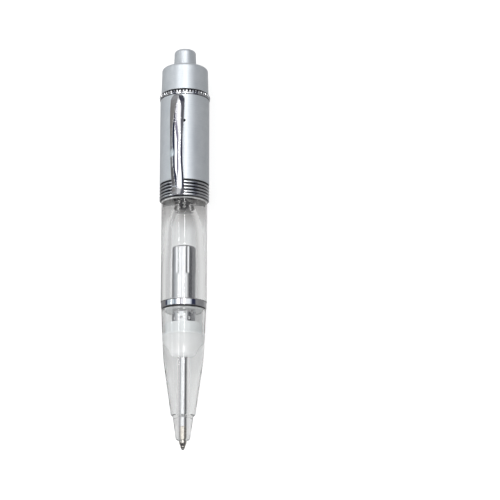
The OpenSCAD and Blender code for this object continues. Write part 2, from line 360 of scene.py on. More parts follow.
def turned_steel():
    """Steel with painted shade in the groove bottoms, which leaves the crests bright."""
    m = Mat("turned_steel").set(Metallic=1.0)
    ring = m.lines(9.0)
    cloud = m.noise(0.4, 4)
    # painted shade: the base colour goes near-black at the bottoms of the rib grooves; the bore keeps plain steel
    depth = m.math("ADD", m.span(m.radius, 0.0, 1.0, 7.0, 8.24), m.span(cloud, -0.03, 0.03))
    m.link(m.ramp(depth, [(0.0, (0.84, 0.84, 0.84)), (0.50, (0.84, 0.84, 0.84)), (0.63, (0.04, 0.04, 0.044)), (0.75, (0.12, 0.12, 0.13)), (0.86, (0.52, 0.53, 0.55)),
                          (0.97, (0.86, 0.87, 0.89))]), "Base Color")
    m.link(m.span(ring, 0.16, 0.30), "Roughness")
    m.bump(ring, 0.25, 0.00001)
    return m.mat


def milled_chrome():
    """Chrome plating with painted shade darkening the bottom of the flutes."""
    m = Mat("milled_chrome").set(Metallic=1.0)
    cloud = m.noise(0.5, 4, 0.6)
    fine = m.noise(6.0, 5, 0.7)
    # painted shade: the colour goes near-black towards the flute bottoms and the ring's inner faces
    depth = m.math("ADD", m.span(m.radius, 0.0, 1.0, 8.18, 8.44), m.span(cloud, -0.06, 0.06))
    m.link(m.ramp(depth, [(0.10, (0.03, 0.03, 0.035)), (0.40, (0.14, 0.14, 0.15)), (0.50, (0.80, 0.81, 0.83)), (0.95, (0.92, 0.92, 0.93))]), "Base Color")
    m.link(m.span(fine, 0.08, 0.18), "Roughness")
    m.bump(fine, 0.05, 0.00001)
    return m.mat


def refill_metal():
    m = Mat("refill_metal").set(Metallic=1.0)
    streak = m.noise(1.0, 5, 0.65, (2.5, 0.25, 2.5))
    spot = m.noise(2.2, 5, 0.7)
    m.link(m.ramp(streak, [(0.3, (0.70, 0.70, 0.71)), (0.7, (0.86, 0.86, 0.87))]), "Base Color")
    m.link(m.span(spot, 0.10, 0.26), "Roughness")
    m.bump(streak, 0.10, 0.00003)
    return m.mat


def point_metal():
    m = Mat("point_metal").set(Metallic=1.0)
    ring = m.lines(14.0)
    m.link(m.ramp(ring, [(0.3, (0.66, 0.61, 0.54)), (0.7, (0.82, 0.78, 0.71))]), "Base Color")
    m.link(m.span(ring, 0.14, 0.28), "Roughness")
    m.bump(ring, 0.3, 0.000008)
    return m.mat


def plain_metal(name, dark, light, r0, r1, scale=2.0):
    m = Mat(name).set(Metallic=1.0)
    n = m.noise(scale, 5, 0.65)
    m.link(m.ramp(n, [(0.3, dark), (0.7, light)]), "Base Color")
    m.link(m.span(n, r0, r1), "Roughness")
    m.bump(n, 0.12, 0.00002)
    return m.mat


def moulded(name, dark, light, r0=0.38, r1=0.55, scale=3.0):
    m = Mat(name)
    n = m.noise(scale, 5, 0.6)
    fine = m.noise(scale * 6, 3, 0.6)
    m.link(m.ramp(n, [(0.3, dark), (0.7, light)]), "Base Color")
    m.link(m.span(fine, r0, r1), "Roughness")
    m.bump(fine, 0.15, 0.00002)
    return m.mat


def clear_plastic(name="clear_plastic", wave=0.10, shine=0.5, shade=(0.80, 0.79, 0.785)):
    m = Mat(name).set(Transmission_Weight=1.0, IOR=1.49, Specular_IOR_Level=shine)
    # painted shade: the plastic's colour darkens towards the collar, as the opaque collar takes some light from the end
    # of the barrel
    m.link(m.ramp(m.span(m.along, 0.0, 1.0, 74.0 - LEN / 2, 79.5 - LEN / 2), [(0.0, (0.965, 0.972, 0.975)), (1.0, shade)]), "Base Color")
    streak = m.noise(0.55, 3, 0.5, (1.0, 0.16, 1.0))
    fine = m.noise(3.0, 4, 0.6)
    m.link(m.span(fine, 0.0, 0.035), "Roughness")
    m.bump(streak, wave, 0.00012)
    m.lets_lamps_through((0.94, 0.95, 0.955))
    return m.mat


def frosted_plastic():
    m = Mat("frosted_plastic").set(Transmission_Weight=0.06, IOR=1.45, Subsurface_Weight=0.5, Subsurface_Scale=0.002, Coat_Weight=1.0, Coat_Roughness=0.03)
    m.bsdf.inputs["Subsurface Radius"].default_value = (1.0, 1.0, 1.0)
    cloud = m.noise(0.5, 4, 0.6)
    fine = m.noise(9.0, 4, 0.6)
    # painted light and shade: the colour is lighter below station 36.6, on the bonded part of the bush that gets less
    # light, and darker above 37.8, on the band that looks brighter through the air gap
    tone = m.math("ADD", m.span(m.along, 0.0, 0.7, 36.6 - LEN / 2, 37.8 - LEN / 2), m.math("MULTIPLY", cloud, 0.3))
    m.link(m.ramp(tone, [(0.06, (0.935, 0.945, 0.945)), (0.24, (0.895, 0.905, 0.905)), (0.76, (0.70, 0.715, 0.715)), (0.94, (0.66, 0.675, 0.675))]), "Base Color")
    m.link(m.span(fine, 0.30, 0.42), "Roughness")
    m.bump(fine, 0.12, 0.00002)
    m.lets_lamps_through((0.80, 0.80, 0.80))
    return m.mat


SILVER, CHROME, STEEL, MILLED = satin_silver(), chrome(), turned_steel(), milled_chrome()
REFILL, POINT = refill_metal(), point_metal()
CLEAR, RESIN, FROST = clear_plastic(), clear_plastic("lamp_resin", 0.03, 0.1, (0.96, 0.965, 0.97)), frosted_plastic()
SPRING = plain_metal("spring_steel", (0.42, 0.43, 0.45), (0.62, 0.63, 0.65), 0.18, 0.32)
# painted shade: the lead frame is a real part, but it is near-black and reflects little so that it paints the dark
# reflections in the lamp
LEAD = moulded("lead_frame", (0.004, 0.004, 0.005), (0.012, 0.012, 0.014), 0.30, 0.45, 6.0)
next(n for n in LEAD.node_tree.nodes if n.type == "BSDF_PRINCIPLED").inputs["Specular IOR Level"].default_value = 0.1
CELL = plain_metal("cell_can", (0.62, 0.63, 0.64), (0.78, 0.78, 0.79), 0.16, 0.30)
BRASS = plain_metal("brass", (0.62, 0.46, 0.20), (0.80, 0.64, 0.33), 0.20, 0.34)
CARBIDE = plain_metal("carbide", (0.16, 0.16, 0.17), (0.28, 0.28, 0.30), 0.12, 0.22, 9.0)
BLACK = moulded("black_plastic", (0.012, 0.012, 0.014), (0.028, 0.028, 0.031))
WHITE = moulded("white_plastic", (0.74, 0.74, 0.71), (0.82, 0.82, 0.80))
MATT = moulded("matt_plate", (0.86, 0.86, 0.85), (0.93, 0.93, 0.92), 0.45, 0.6, 5.0)
# painted light: a paler copy of the matt plate, for the spigot that sits in shade under the centre ring
PALE = moulded("pale_plate", (0.955, 0.955, 0.95), (0.985, 0.985, 0.98), 0.45, 0.6, 5.0)
BOARD = moulded("board_green", (0.015, 0.10, 0.035), (0.03, 0.16, 0.06), 0.25, 0.4)
RUBBER = moulded("rubber", (0.008, 0.008, 0.009), (0.02, 0.02, 0.021), 0.6, 0.8)

# ---------------------------------------------------------------- tail


def cap_profile():
    return [
        (6.7, 113.6), (7.3, 113.6), (7.3, 119.25), (7.9, 119.25, 0.12), (7.7, 126.45), (7.7, 128.55, 2.1),
        (3.93, 128.55, 0.10), (3.93, 127.6), (6.7, 127.6),
    ]


turned("tail_cap_shell", cap_profile(), SILVER, "barrel", ["tail_cap"], "satin_silver", seg=192, steps=12)
turned(
    "push_button_cap",
    [(0, 126.0), (5.0, 126.0, 0.1), (5.0, 127.5, 0.1), (3.83, 127.5), (3.83, 128.55), (3.62, 132.85),
     (3.60, 135.15, 2.3), (0.6, 135.19), (0, 135.2)],
    SILVER, "button", ["push_button"], "satin_silver", seg=160, steps=12,
)

FLUTES = 48


def milled(r, s, a):
    """Round-bottomed flutes above a plain lip."""
    if r < 7.9 or s < 117.85:
        return r
    rise = min(1.0, max(0.0, (s - 117.85) / 0.10))
    pitch = 2 * math.pi / FLUTES
    d = abs((a / pitch + 0.5) % 1.0 - 0.5) * pitch * 8.43
    depth = max(0.0, math.sqrt(max(0.3**2 - d * d, 0.0)) - 0.05)
    return r - depth * rise


turned(
    "milled_ring_edge",
    [(7.36, 117.3), (8.27, 117.3, 0.04), (8.32, 117.42, 0.05), (8.32, 117.80), (8.335, 117.84), (8.36, 117.89), (8.40, 117.97),
     (8.43, 118.06), (8.43, 118.3), (8.43, 118.52), (8.34, 118.70), (8.2, 118.95), (8.05, 119.2, 0.06), (7.36, 119.2)],
    MILLED, "barrel", ["milled_ring"], "chrome", seg=FLUTES * 14, shape=milled, sharp=50,
)



def coil_mesh(radius, lo, hi, turns, wire, sides=12, per_turn=40):
    """A wound wire spring between two stations, with its end turns lying flatter."""
    n, w = int(turns * per_turn), wire / 2
    verts, faces = [], []
    for i in range(n + 1):
        u = i / n
        s = lo + w + (hi - lo - wire) * (u - 0.45 / turns * math.sin(2 * math.pi * u) / math.pi)
        a = 2 * math.pi * turns * u + math.pi / 2
        verts += [place(radius + w * math.cos(b), s + w * math.sin(b), a) for b in [2 * math.pi * k / sides for k in range(sides)]]
    for i in range(n):
        for k in range(sides):
            k2 = (k + 1) % sides
            faces.append((i * sides + k, (i + 1) * sides + k, (i + 1) * sides + k2, i * sides + k2))
    faces += [tuple(range(sides)), tuple(n * sides + k for k in range(sides))[::-1]]
    return verts, faces


# the return spring; the real one shortens by the button's travel, but it is drawn here at one length
coil = finish_mesh("switch_spring_coil", *coil_mesh(2.6, 121.05, 125.95, 4.5, 0.4), SPRING, "barrel", ["switch_spring"], "spring_steel")
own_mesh(coil)

# ---------------------------------------------------------------- silver barrel and clip


def barrel_with_slot():
    """The silver tube, with the slot for the clip's foot cut through its wall."""
    prof = hold(soften([(7.4, 87.9), (8.2, 87.9, 0.10), (8.2, 117.25, 0.10), (7.4, 117.25)]))
    verts, faces = lathe_mesh(prof, True, 192)
    ob = finish_mesh("upper_barrel_tube", verts, faces, SILVER, "barrel", ["upper_barrel"], "satin_silver")
    bm = bmesh.new()
    # stadium-ended cutter, seen from the clip's side
    y0, z0 = (108.0 - LEN / 2) * MM, AXIS * MM
    ring = []
    for sx in (1, -1):
        for k in range(9):
            t = math.pi / 2 - math.pi * k / 8
            ring.append((sx * (1.8 + 0.52 * math.cos(t)) * MM, y0 + sx * 0.52 * math.sin(t) * MM))
    top = [bm.verts.new((x, y, z0 + 0.0095)) for x, y in ring]
    low = [bm.verts.new((x, y, z0 + 0.0055)) for x, y in ring]
    bm.faces.new(top)
    bm.faces.new(low[::-1])
    for i in range(len(ring)):
        j = (i + 1) % len(ring)
        bm.faces.new((low[i], low[j], top[j], top[i]))
    bmesh.ops.recalc_face_normals(bm, faces=bm.faces)
    me = bpy.data.meshes.new("slot_cutter")
    bm.to_mesh(me)
    bm.free()
    cutter = bpy.data.objects.new("slot_cutter", me)
    scene.collection.objects.link(cutter)
    md = ob.modifiers.new("slot", "BOOLEAN")
    md.operation, md.solver, md.object = "DIFFERENCE", "EXACT", cutter
    dg = bpy.context.evaluated_depsgraph_get()
    new = bpy.data.meshes.new_from_object(ob.evaluated_get(dg))
    ob.modifiers.clear()
    ob.data = new
    bpy.data.objects.remove(cutter)
    new.set_sharp_from_angle(angle=math.radians(38))
    if not new.materials:
        new.materials.append(SILVER)
    return ob


barrel_with_slot()

CLIP_OUT = [(82.3, 10.0), (82.9, 9.78), (83.6, 9.6), (84.8, 9.4), (86.5, 9.6), (90.0, 10.3), (95.0, 10.85), (100.0, 11.0),
            (106.0, 10.85), (112.0, 10.35), (114.2, 10.1), (115.6, 9.85), (116.5, 9.5), (117.1, 8.98)]
# Creases of the pressed face as shares of half its width, from the left: end of the flank, end of the
# hollow, start and end of the shallow groove, end of the crown. Each row starts with its station.
FACE = [
    (82.3, -0.28, -0.06, -0.05, -0.03, 0.60), (86.1, -0.29, -0.06, -0.05, -0.03, 0.62), (88.5, -0.43, -0.04, 0.0, 0.10, 0.68),
    (89.9, -0.43, -0.18, 0.08, 0.28, 0.68), (91.3, -0.49, -0.20, 0.10, 0.36, 0.67), (94.0, -0.47, -0.19, 0.155, 0.40, 0.67),
    (96.6, -0.52, -0.17, 0.175, 0.39, 0.67), (99.8, -0.59, -0.20, 0.17, 0.41, 0.69), (101.9, -0.575, -0.215, 0.03, 0.39, 0.71),
    (105.0, -0.525, -0.19, -0.17, 0.23, 0.65), (107.6, -0.38, -0.135, -0.12, 0.0, 0.57), (112.1, -0.19, -0.09, -0.07, -0.03, 0.56),
    (114.2, 0.02, 0.07, 0.08, 0.09, 0.42), (115.4, 0.10, 0.13, 0.14, 0.15, 0.26), (117.1, 0.10, 0.13, 0.14, 0.15, 0.26),
]
# How steep the flank left of the hollow stands, at its outer and its inner end
FLANK = [(82.3, -27, -21), (117.1, -27, -21)]


def soft(t):
    t = min(1.0, max(0.0, t))
    return t * t * (3 - 2 * t)


def row_at(rows, s):
    for a, b in zip(rows, rows[1:]):
        if s <= b[0]:
            k = max(0.0, (s - a[0]) / (b[0] - a[0]))
            return [x + (y - x) * k for x, y in zip(a[1:], b[1:])]
    return list(rows[-1][1:])


def face_slope(s):
    """Corner points (share of half the width, slope in degrees) across the clip's face at a station."""
    a, b, c, d, e = row_at(FACE, s)
    f0, f1 = row_at(FLANK, s)
    e += 0.07
    mid = (d + e) / 2
    return [(-1.0, -62), (-0.93, f0), (a - 0.05, f1), (a, -13.4), (b, -7.6), (b + 0.01, -6.8), (c, 5.2), (c + 0.01, 5.9), (d, 7.5),
            (d + 0.01, 8.4), (mid, 11.8), (mid + 0.01, 14.8), (e - 0.03, 23), (e + 0.02, 36), (0.96, 44), (1.0, 60)]


def clip_half_width(s):
    w = 2.08 + 0.29 * soft((s - 100.0) / 13.0)
    if s > 114.73:
        w = math.sqrt(max(2.37**2 - (s - 114.73) ** 2, 0.0))
    if s < 83.2:
        w = 2.08 - 0.9 + math.sqrt(max(0.9**2 - (83.2 - s) ** 2, 0.0))
    return w


def clip_aside(s):
    """The strip sits a little to the left of the slot's middle, except at its foot."""
    return -0.2 * soft((s - 86.0) / 9.0)


def clip_mesh():
    """A bowed, rolled strip: crowned outside, hollow under, round at the top, with a turned-out foot."""
    stations = [82.3 + 0.9 * (1 - math.cos(math.pi / 2 * k / 10)) for k in range(11)]
    stations += [83.2 + (114.73 - 83.2) * k / 150 for k in range(1, 151)]
    stations += [114.73 + 2.37 * math.sin(math.pi / 2 * k / 24) for k in range(1, 24)]
    stations += [117.0995]
    half, arc = 60, 2.75
    verts, faces, rows = [], [], []
    for s in stations:
        w = max(clip_half_width(s), 0.02)
        ro = curve_through(CLIP_OUT, s)
        corner = face_slope(s)
        drop, z = [], 0.0
        for k in range(half * 2 + 1):
            u = -1 + k / half
            if k:
                z -= math.tan(math.radians(row_at(corner, u - 0.5 / half)[0])) * w / half
            drop.append(z)
        peak = max(drop)
        top = [((-1 + k / half) * w, ro + z - peak) for k, z in enumerate(drop)]
        under = []
        for k in range(37):
            u = 1 - 2 * k / 36
            x = u * max(w - 0.10, 0.01)
            z = ro - (arc - math.sqrt(arc * arc - x * x)) - min(0.42, 0.2 + 0.3 * w) + 0.10 * u * u
            under.append((x, z))
        xe, ze = top[-1]
        xi, zi = under[0]
        right = [(xe + 0.0, ze + (zi - ze) * 0.25), (xe - 0.02, ze + (zi - ze) * 0.6), (xe - 0.06, ze + (zi - ze) * 0.9)]
        xe, ze = top[0]
        xi, zi = under[-1]
        left = [(xe + 0.06, ze + (zi - ze) * 0.9), (xe + 0.02, ze + (zi - ze) * 0.6), (xe - 0.0, ze + (zi - ze) * 0.25)]
        # room over the barrel for the top end, which tips down as the clip opens
        room = 0.0612 * max(s - 108.0, 0.0) + 0.06
        loop = [(x, max(z, math.sqrt(8.2**2 - (x + clip_aside(s)) ** 2) + room)) for x, z in top + right + under + left]
        rows.append(len(verts))
        for x, z in loop:
            verts.append(Vector(((x + clip_aside(s)) * MM, (s - LEN / 2) * MM, (AXIS + z) * MM)))
        n = len(loop)
    for i in range(len(rows) - 1):
        for k in range(n):
            k2 = (k + 1) % n
            faces.append((rows[i] + k, rows[i] + k2, rows[i + 1] + k2, rows[i + 1] + k))
    faces.append(tuple(rows[0] + k for k in range(n))[::-1])
    faces.append(tuple(rows[-1] + k for k in range(n)))
    return verts, faces


def strip(points, thick, half_w):
    """A bent strip: points are (radius, station) along its middle."""
    verts, faces = [], []
    n = len(points)
    for i, p in enumerate(points):
        a, b = Vector(points[max(i - 1, 0)]), Vector(points[min(i + 1, n - 1)])
        t = (b - a).normalized()
        nrm = Vector((-t.y, t.x)) * (thick / 2)
        for q in (Vector(p) + nrm, Vector(p) - nrm):
            for x in (-half_w, half_w):
                verts.append(Vector((x * MM, (q.y - LEN / 2) * MM, (AXIS + q.x) * MM)))
    for i in range(n - 1):
        o, q = 4 * i, 4 * (i + 1)
        faces += [(o, o + 1, q + 1, q), (o + 3, o + 2, q + 2, q + 3), (o + 1, o + 3, q + 3, q + 1), (o + 2, o, q, q + 2)]
    faces += [(0, 2, 3, 1), (4 * n - 4, 4 * n - 3, 4 * n - 1, 4 * n - 2)]
    return verts, faces


foot = [(10.4, 108.0), (8.6, 108.0), (7.75, 108.0)]
foot += [(7.0 + 0.45 - 0.45 * math.sin(t), 108.45 - 0.45 * math.cos(t)) for t in [math.pi / 2 * k / 5 for k in range(1, 6)]]
foot += [(7.0, 110.0), (7.0, 112.1)]
CLIP = finish_mesh("pocket_clip_strip", *joined(clip_mesh(), strip(foot, 0.4, 1.5)), CHROME, "clip", ["pocket_clip"], "chrome", sharp=50)

# ---------------------------------------------------------------- seal and collar

turned("barrel_gasket_ring", [(7.38, 87.45), (8.06, 87.45, 0.08), (8.06, 87.87, 0.08), (7.38, 87.87)], RUBBER, "barrel",
       ["barrel_gasket"], "rubber")

ribs, pitch = [], (87.42 - 83.0) / 4
for i in range(4):
    z = 83.0 + i * pitch
    for r, k, f in ((7.82, 0.02, 0.03), (7.82, 0.18, 0.05), (8.08, 0.28, 0.10), (8.22, 0.46, 0.16), (8.22, 0.72, 0.16), (8.08, 0.90, 0.10), (7.82, 0.99, 0.03)):
        ribs.append((r, z + k * pitch, f))
turned(
    "coupling_collar_turned",
    [(6.0, 90.15), (6.0, 87.0), (6.95, 86.97), (6.95, 82.1), (7.72, 82.1, 0.06), (8.2, 82.5, 0.12), (8.2, 83.0, 0.08)]
    + ribs + [(7.35, 87.42), (7.35, 90.15)],
    STEEL, "barrel", ["coupling_collar"], "ribbed_steel", seg=192,
)

# painted light: a matt pale lining in the collar's bore, so that the bore reads lighter through the plastic than bare
# steel would
turned("collar_lining", [(6.915, 82.12), (6.945, 82.12), (6.945, 86.9), (6.915, 86.9)], MATT, "barrel", (), "ribbed_steel", seg=192)

# ---------------------------------------------------------------- clear barrel and lamp


def bell(s):
    return 4.1 - 2.2 * max((s - 70.3) / 10.2, 0.0) ** 1.85


turned(
    "clear_barrel_tube",
    [(4.6, 48.05, 0.08), (7.525, 48.05, 0.12), (7.525, 81.66, 0.04), (6.9, 81.66), (6.9, 86.9, 0.1), (3.1, 86.9, 0.05), (3.1, 84.85),
     (2.62, 84.85, 0.05), (2.62, 82.25)]
    + [(2.62 * math.cos(t), 82.25 - 2.62 * math.sin(t)) for t in [math.radians(42 * k / 12) for k in range(1, 13)]]
    + [(bell(80.4 - 10.1 * k / 40), 80.4 - 10.1 * k / 40) for k in range(41)] + [(4.6, 62.0)],
    CLEAR, "barrel", ["clear_barrel"], "clear_plastic", seg=256,
)

turned("clear_barrel_rim", [(6.92, 81.67), (7.525, 81.67, 0.04), (7.525, 82.0, 0.10), (6.92, 82.0)], FROST, "barrel", (), "frosted_plastic", seg=192)

lamp_prof = [(0, 85.92), (2.9, 85.92, 0.08), (2.9, 84.9, 0.08), (2.63, 84.9, 0.03)]
lamp_prof += [(2.63 * math.cos(t), 82.25 - 2.63 * math.sin(t)) for t in [math.radians(40.5 * k / 12) for k in range(13)]]
lamp_prof += [(2.5 * math.cos(t), 82.25 - 2.5 * math.sin(t)) for t in [math.radians(44 + 46 * k / 16) for k in range(16)]] + [(0, 79.75)]
turned("lamp_body", lamp_prof, RESIN, "barrel", ["lamp"], "lamp_resin", seg=128)


def prism(outline, half_t, cut=0.05):
    """A stamped plate: outline as (x, station) corners, thickness along Z."""
    verts, faces = [], []
    n = len(outline)
    cx = sum(p[0] for p in outline) / n
    cs = sum(p[1] for p in outline) / n
    for z, k in ((-half_t, 0.92), (-half_t + cut, 1.0), (half_t - cut, 1.0), (half_t, 0.92)):
        for x, s in outline:
            verts.append(Vector(((cx + (x - cx) * k) * MM, (cs + (s - cs) * k - LEN / 2) * MM, (AXIS + z) * MM)))
    for j in range(3):
        for i in range(n):
            i2 = (i + 1) % n
            faces.append((j * n + i, j * n + i2, (j + 1) * n + i2, (j + 1) * n + i))
    faces += [tuple(range(n))[::-1], tuple(3 * n + i for i in range(n))]
    return verts, faces


def lamp_frame():
    """The stamped lead frame inside the lamp: anvil and post, which spread into a tent over the chip. Its black plates,
    wing and foot included, paint the dark reflections in the lamp.
    """
    anvil = prism([(-2.3, 85.85), (-0.15, 85.85), (-0.15, 82.95), (-0.9, 82.6), (-1.0, 82.0), (-2.15, 81.9), (-2.3, 82.5)], 0.5)
    post = prism([(0.3, 85.85), (2.3, 85.85), (2.3, 82.8), (2.0, 82.5), (0.95, 82.45), (0.55, 82.9), (0.3, 83.2)], 0.5)
    cap = prism([(-0.25, 82.65), (0.25, 82.65), (0.75, 81.95), (0.7, 81.55), (-0.7, 81.55), (-0.75, 81.95)], 0.6)
    left = prism([(-0.75, 81.9), (-0.45, 81.6), (-0.55, 80.5), (-1.0, 80.45), (-1.05, 81.2)], 0.45)
    right = prism([(0.75, 81.9), (1.1, 81.4), (1.75, 81.2), (1.7, 80.75), (1.0, 80.6), (0.6, 80.5), (0.45, 81.5)], 0.45)
    wing = prism([(-1.45, 81.45), (-1.95, 81.3), (-1.85, 80.75), (-1.45, 80.7)], 0.45)
    foot = prism([(-1.0, 80.62), (0.9, 80.62), (0.85, 80.4), (-0.9, 80.35)], 0.4)
    return joined(anvil, post, cap, left, right, wing, foot)


def chip_bead():
    return lathe_mesh(hold(soften([(0, 81.5), (0.3, 81.4, 0.1), (0.5, 81.05, 0.2), (0.45, 80.75, 0.15), (0, 80.68)], False), False), False, 48)


# the white bead stands for the chip and also paints the bright highlight in the middle of the lamp
finish_mesh("lamp_chip_bead", *chip_bead(), WHITE, "barrel", (), "white_plastic")
finish_mesh("lamp_lead_frame", *lamp_frame(), LEAD, "barrel", (), "black_plastic")

# ---------------------------------------------------------------- twist mechanism

turned(
    "centre_ring_turned",
    [(3.9, 45.95), (7.42, 45.95, 0.22), (7.42, 48.0, 0.14), (4.54, 48.0, 0.05), (4.54, 48.9, 0.12), (3.9, 48.9)],
    CHROME, "barrel", ["centre_ring"], "chrome", seg=192,
)


# painted light: the spigot gets the paler plate so that the shade under the ring does not show
turned("centre_ring_spigot", [(3.9, 45.55), (6.82, 45.55, 0.02), (6.82, 45.94), (3.9, 45.94)], PALE, "barrel", (), "chrome", seg=192)
# painted shade: the washer is drawn only as a thin black rim at its outer edge, which paints the shaded gap between the
# centre ring and the cone
turned("twist_washer_shade_rim", [(6.87, 45.53), (7.1, 45.53, 0.06), (7.1, 45.92, 0.06), (6.87, 45.92)], BLACK, "barrel",
       ["twist_washer"], "black_plastic", seg=160)


def tube_shape(r, s, a):
    """Eight shallow flutes along the upper part and two rows of crimp dimples near the mouth."""
    if r < 3.5 and s < 65.9:
        return r
    if s > 56.85 and s < 66.55:
        d = (math.degrees(a) - 30.0) % 45.0
        d = math.radians(min(d, 45.0 - d))
        x = 4.35 * math.sin(d)
        if abs(x) < 0.7 and r > 3.2:
            cut = 4.35 * math.cos(d) - math.sqrt(0.49 - x * x)
            run = min(1.0, max(0.0, (s - 56.9) / 0.45))
            run = run * run * (3 - 2 * run)
            r = r - max(0.0, 3.85 - cut) * run * min(1.0, max(0.0, (r - 3.2) / 0.5))
    for row, off in ((42.4, 4.0), (44.5, 22.0)):
        if abs(s - row) < 0.62:
            d = (math.degrees(a) - off) % 36.0
            d = math.radians(min(d, 36.0 - d))
            q = 0.6**2 - (3.85 * d) ** 2 - (s - row) ** 2
            if q > 0:
                r = min(r, 4.2 - math.sqrt(q))
    return r


tube_prof = [(3.4, 65.8), (3.4, 41.1), (3.85, 41.1)]
tube_prof += [(3.85, 41.15 + 4.2 * k / 44) for k in range(45)] + [(3.85, 46.0 + 10.3 * k / 6) for k in range(7)]
tube_prof += [(3.85, 56.55 + 1.2 * k / 14) for k in range(15)] + [(3.85, 58.2 + 7.4 * k / 8) for k in range(9)]
tube_prof += [(2.95 + 0.9 * math.cos(t), 65.6 + 0.9 * math.sin(t)) for t in [math.pi / 2 * k / 10 for k in range(1, 11)]]
tube_prof = [(0, 65.8)] + tube_prof + [(1.5, 66.5), (0, 66.5)]
verts, faces = lathe_mesh(tube_prof, False, 360, tube_shape)
finish_mesh("mechanism_tube_plated", verts, faces, CHROME, "barrel", ["mechanism_tube"], "chrome", sharp=45)


def bush_r(s):
    return 2.75 + 3.5 * ((s - 29.8) / 7.2) ** 2 - 1.1 * max(0.0, 1 - (s - 29.8) / 1.4) ** 2


turned(
    "front_bush_frosted",
    [(2.7, 40.85), (6.25, 40.85, 0.22)] + [(bush_r(37.0 - 7.2 * k / 28), 37.0 - 7.2 * k / 28) for k in range(28)]
    + [(1.65, 29.8), (1.35, 29.8), (1.35, 32.3), (2.7, 32.3)],
    FROST, "front", ["front_bush"], "frosted_plastic", seg=160,
)


def cone_r(s):
    lo, hi = 4.0 + 0.1447 * (s - 11.68), 7.27 - 0.042 * (46 - s)
    return -math.log(math.exp(-7 * lo) + math.exp(-7 * hi)) / 7


cone_prof = [(6.32, 45.5, 0.06), (7.15, 45.5, 0.08), (cone_r(45.3), 45.3, 0.05)]
cone_prof += [(cone_r(45.0 - 33.2 * k / 48), 45.0 - 33.2 * k / 48) for k in range(49)]
cone_prof += [(3.98, 11.5, 0.15), (3.9, 11.15, 0.2), (3.6, 10.9, 0.1), (1.3, 10.9), (1.3, 29.81), (1.64, 29.81)]
cone_prof += [(bush_r(29.9 + 7.1 * k / 28) - 0.012, 29.9 + 7.1 * k / 28) for k in range(29)] + [(6.238, 37.2), (6.32, 37.8)]
turned("front_cone_clear", cone_prof, CLEAR, "front", ["front_cone"], "clear_plastic", seg=256)
nose = [(1.3, 2.95, 0.05)] + [(1.4 + 0.9 * math.cos(t), 3.85 + 0.9 * math.sin(t)) for t in [math.radians(-85 + 77 * k / 10) for k in range(11)]]
nose += [(3.34, 10.85, 0.08), (1.3, 10.85)]
turned("nose_tip_clear", nose, CLEAR, "front", ["nose_tip"], "clear_plastic", seg=192)

# ---------------------------------------------------------------- refill

turned("refill_tube_drawn", [(0.97, 7.5), (1.175, 7.5, 0.04), (1.175, 58.0, 0.04), (0.97, 58.0)], REFILL, "refill",
       ["refill_tube"], "refill_metal", seg=96)
tip = [(0, 9.6), (0.94, 9.6), (0.94, 7.45), (1.175, 7.45, 0.05), (1.175, 2.25, 0.15), (1.08, 1.95, 0.1), (0.77, 1.2, 0.15), (0.72, 0.85, 0.1), (0.62, 0.6, 0.08), (0.42, 0.33, 0.03)]
tip += [(0.52 * math.cos(t), 0.5 + 0.52 * math.sin(t)) for t in [math.radians(-16 + 106 * k / 12) for k in range(13)]]
tip[-1] = (0, 1.02)
turned("refill_tip_turned", tip, POINT, "refill", ["refill_tip"], "point_metal", seg=96)
ball = [(0.5 * math.sin(t), 0.5 - 0.5 * math.cos(t)) for t in [math.pi * k / 32 for k in range(33)]]
ball[0], ball[-1] = (0, 0.0), (0, 1.0)
turned("writing_ball_ground", ball, CARBIDE, "ball", ["writing_ball"], "ball_carbide", seg=64)

# ---------------------------------------------------------------- CAD pieces that stay as they are

for name, mat in {
    "switch_body": BLACK, "switch_plunger": WHITE, "contact_plate": BRASS,
    # painted shade: the battery sleeve is black so that the end of the clip's slot shows as a dark spot
    "battery_spring": SPRING, "button_cells": CELL, "battery_sleeve": BLACK, "lamp_board": BOARD,
    "board_resistor": BLACK, "board_contact": BRASS, "lamp_holder": BLACK, "lamp_leads": SPRING,
    "helix_cam": WHITE, "slotted_rotor": BRASS, "rotor_snap_ring": SPRING, "refill_carriage": WHITE,
    "carriage_pin": SPRING,
}.items():
    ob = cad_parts[name]
    ob.data.materials.clear()
    ob.data.materials.append(mat)

# ---------------------------------------------------------------- floor, light and camera

VIEW = math.radians(14.6)   # the camera stands this far round the pen from the clip
TILT = math.radians(14.6725)
HIGH, BACK, FOCAL = 558.552, -80.24, 1758.69


